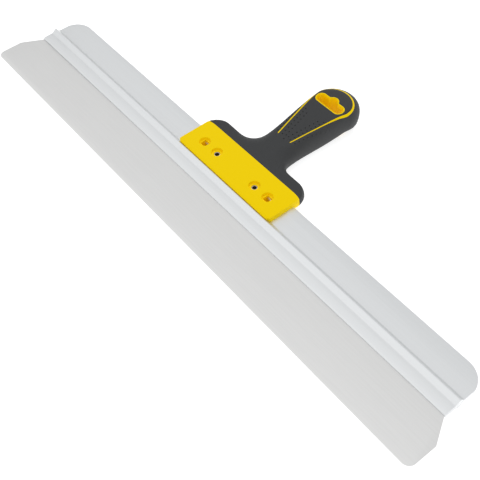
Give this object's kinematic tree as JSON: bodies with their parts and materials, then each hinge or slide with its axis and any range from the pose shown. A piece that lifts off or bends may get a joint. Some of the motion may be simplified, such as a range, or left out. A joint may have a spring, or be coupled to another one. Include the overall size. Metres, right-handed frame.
{
  "type": "drywall taping knife",
  "caption": "Wide taping knife with a stainless blade in an aluminium stiffening profile and a riveted two-shot T-handle with a hanging hole.",
  "frame": {"origin": "under the middle of the tool, at the height of its lowest point, the underside of the grip", "axes": "+X along the blade, +Y from the working edge towards the tip of the grip, +Z out of the blade's upper face"},
  "size_m": [0.6, 0.2276, 0.0288],
  "materials": {
    "stainless": "fine ground stainless sheet",
    "aluminium": "satin anodised extrusion",
    "yellow_plastic": "satin moulded plastic",
    "dark_rubber": "matt soft-touch moulding",
    "rivet_metal": "plated"
  },
  "bodies": {
    "root": {"blade": "stainless", "blade_profile": "aluminium", "handle_core": "yellow_plastic", "grip_overmould": "dark_rubber", "rivet_left": "rivet_metal", "rivet_right": "rivet_metal", "washer_left": "rivet_metal", "washer_right": "rivet_metal"}
  },
  "joints": []
}
